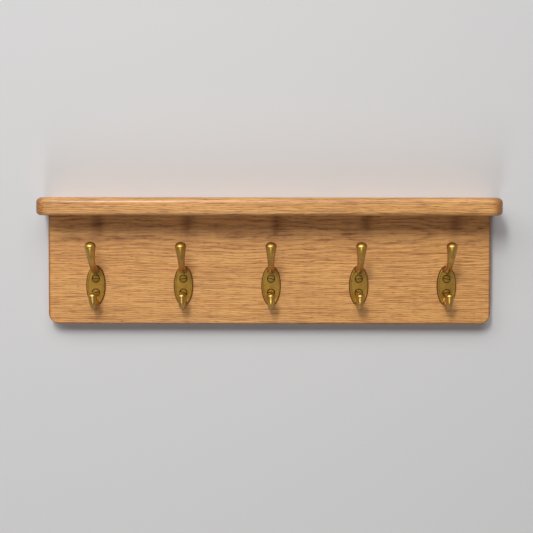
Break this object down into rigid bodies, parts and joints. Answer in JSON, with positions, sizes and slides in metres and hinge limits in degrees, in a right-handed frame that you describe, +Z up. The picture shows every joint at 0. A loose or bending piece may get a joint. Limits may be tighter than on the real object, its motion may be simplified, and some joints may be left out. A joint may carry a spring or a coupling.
{
  "type": "wall hook rack",
  "caption": "Oak wall shelf on an oak back board with a row of cast brass double hooks, hung on two keyhole plates.",
  "frame": {"origin": "on the wall, midway between the entry holes of the two keyhole plates", "axes": "+X along the rack to the right as seen from the front, +Y into the wall, +Z up"},
  "size_m": [0.52, 0.0724, 0.145],
  "materials": {
    "oak": "oiled",
    "beech": "bare",
    "cast_brass": "aged, satin",
    "screw_brass": "satin",
    "zinc_plate": "zinc plated",
    "zinc_screw": "zinc plated"
  },
  "bodies": {
    "root": {"shelf": "oak", "backboard": "oak", "dowel_1": "beech", "dowel_2": "beech", "dowel_3": "beech", "dowel_4": "beech", "hook_1": "cast_brass", "hook_2": "cast_brass", "hook_3": "cast_brass", "hook_4": "cast_brass", "hook_5": "cast_brass", "hook_1_upper_screw": "screw_brass", "hook_1_lower_screw": "screw_brass", "hook_2_upper_screw": "screw_brass", "hook_2_lower_screw": "screw_brass", "hook_3_upper_screw": "screw_brass", "hook_3_lower_screw": "screw_brass", "hook_4_upper_screw": "screw_brass", "hook_4_lower_screw": "screw_brass", "hook_5_upper_screw": "screw_brass", "hook_5_lower_screw": "screw_brass", "keyhole_plate_left": "zinc_plate", "keyhole_plate_right": "zinc_plate", "left_plate_upper_screw": "zinc_screw", "left_plate_lower_screw": "zinc_screw", "right_plate_upper_screw": "zinc_screw", "right_plate_lower_screw": "zinc_screw"}
  },
  "joints": []
}
